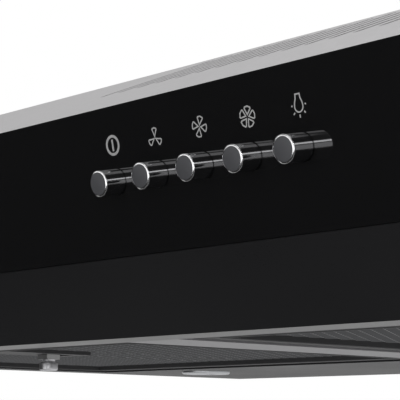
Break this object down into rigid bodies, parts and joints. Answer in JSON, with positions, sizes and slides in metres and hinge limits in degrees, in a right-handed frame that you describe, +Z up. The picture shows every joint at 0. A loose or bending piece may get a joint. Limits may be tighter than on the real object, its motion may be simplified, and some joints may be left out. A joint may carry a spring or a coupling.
{
  "type": "under cabinet range hood",
  "caption": "Under cabinet range hood with push-button panel, swing-down mesh filters, lamps, blower and flap-damped outlet collar.",
  "frame": {"origin": "centre of the cabinet screw pattern on the flat top face", "axes": "+X to the right seen from the front, +Y back to the wall, +Z up"},
  "size_m": [0.6, 0.3864, 0.2084],
  "materials": {
    "galvanised_steel": "satin",
    "satin_black_steel": "satin",
    "satin_black_front": "satin",
    "gloss_black_panel": "gloss",
    "aluminium_frame": "satin",
    "aluminium_mesh": "satin",
    "black_plastic": "matte",
    "plated_steel": "satin",
    "damper_aluminium": "satin",
    "satin_chrome": "satin",
    "zinc_steel": "satin",
    "ivory_plastic": "matte",
    "brushed_bezel": "brushed",
    "frosted_lens": "frosted",
    "heat_sink_aluminium": "satin",
    "motor_steel": "satin",
    "white_plastic": "gloss",
    "black_rubber": "matte",
    "impeller_steel": "satin",
    "bright_chrome": "polished",
    "button_face_grey": "satin"
  },
  "bodies": {
    "canopy": {"top_shell": "galvanised_steel", "side_panel_left": "satin_black_steel", "side_panel_right": "satin_black_steel", "back_panel": "satin_black_steel", "control_fascia": "gloss_black_panel", "lower_fascia": "satin_black_front", "centre_bar": "aluminium_frame", "rear_panel": "satin_black_steel", "rear_panel_screws": "zinc_steel", "button_guide": "black_plastic", "switch_block": "ivory_plastic", "switch_bracket": "zinc_steel", "switch_screws": "zinc_steel", "lamp_bezel_left": "brushed_bezel", "lamp_bezel_right": "brushed_bezel", "lamp_lens_left": "frosted_lens", "lamp_lens_right": "frosted_lens", "lamp_module_left": "heat_sink_aluminium", "lamp_module_right": "heat_sink_aluminium", "scroll_wrapper": "galvanised_steel", "scroll_plate_left": "galvanised_steel", "scroll_plate_right": "galvanised_steel", "motor_can": "motor_steel", "motor_mount": "motor_steel", "motor_screws": "zinc_steel", "capacitor": "white_plastic", "terminal_box": "black_plastic", "terminal_cover": "black_plastic", "cable_grommet": "black_rubber", "outlet_collar": "galvanised_steel", "collar_flange": "galvanised_steel", "collar_screws": "zinc_steel", "damper_pin": "plated_steel"},
    "rotor": {"impeller": "impeller_steel", "rotor_shaft": "plated_steel"},
    "damper_left": {"damper_flap_left": "damper_aluminium"},
    "damper_right": {"damper_flap_right": "damper_aluminium"},
    "filter_left": {"filter_frame_left": "aluminium_frame", "filter_mesh_left": "aluminium_mesh", "latch_housing_left": "black_plastic"},
    "filter_right": {"filter_frame_right": "aluminium_frame", "filter_mesh_right": "aluminium_mesh", "latch_housing_right": "black_plastic"},
    "latch_left": {"latch_slide_left": "plated_steel", "latch_knob_left": "satin_chrome"},
    "latch_right": {"latch_slide_right": "plated_steel", "latch_knob_right": "satin_chrome"},
    "button_power": {"button_power": "bright_chrome", "button_face_power": "button_face_grey"},
    "button_low": {"button_low": "bright_chrome", "button_face_low": "button_face_grey"},
    "button_medium": {"button_medium": "bright_chrome", "button_face_medium": "button_face_grey"},
    "button_high": {"button_high": "bright_chrome", "button_face_high": "button_face_grey"},
    "button_lamp": {"button_lamp": "bright_chrome", "button_face_lamp": "button_face_grey"}
  },
  "joints": [
    {"name": "press_power", "type": "slide", "parent": "canopy", "child": "button_power", "axis": [0, 0.9781, 0.2079], "range_m": [0, 0.0035], "stiffness_N_per_m": 400},
    {"name": "press_low", "type": "slide", "parent": "canopy", "child": "button_low", "axis": [0, 0.9781, 0.2079], "range_m": [0, 0.0035], "stiffness_N_per_m": 400},
    {"name": "press_medium", "type": "slide", "parent": "canopy", "child": "button_medium", "axis": [0, 0.9781, 0.2079], "range_m": [0, 0.0035], "stiffness_N_per_m": 400},
    {"name": "press_high", "type": "slide", "parent": "canopy", "child": "button_high", "axis": [0, 0.9781, 0.2079], "range_m": [0, 0.0035], "stiffness_N_per_m": 400},
    {"name": "press_lamp", "type": "slide", "parent": "canopy", "child": "button_lamp", "axis": [0, 0.9781, 0.2079], "range_m": [0, 0.0035], "stiffness_N_per_m": 400},
    {"name": "filter_swing_left", "type": "hinge", "parent": "canopy", "child": "filter_left", "pos_m": [-0.14975, -0.03, -0.15179], "axis": [1, 0, 0], "range_deg": [0, 75]},
    {"name": "latch_pull_left", "type": "slide", "parent": "filter_left", "child": "latch_left", "axis": [0, 1, 0], "range_m": [0, 0.006], "stiffness_N_per_m": 300},
    {"name": "filter_swing_right", "type": "hinge", "parent": "canopy", "child": "filter_right", "pos_m": [0.14975, -0.03, -0.15179], "axis": [1, 0, 0], "range_deg": [0, 75]},
    {"name": "latch_pull_right", "type": "slide", "parent": "filter_right", "child": "latch_right", "axis": [0, 1, 0], "range_m": [0, 0.006], "stiffness_N_per_m": 300},
    {"name": "rotor_spin", "type": "hinge", "parent": "canopy", "child": "rotor", "pos_m": [0, 0, -0.078], "axis": [1, 0, 0], "continuous": true},
    {"name": "damper_left_swing", "type": "hinge", "parent": "canopy", "child": "damper_left", "pos_m": [0, 0.032, 0.01], "axis": [0, 1, 0], "range_deg": [0, 80]},
    {"name": "damper_right_swing", "type": "hinge", "parent": "canopy", "child": "damper_right", "pos_m": [0, 0.032, 0.01], "axis": [0, -1, 0], "range_deg": [0, 80]}
  ]
}
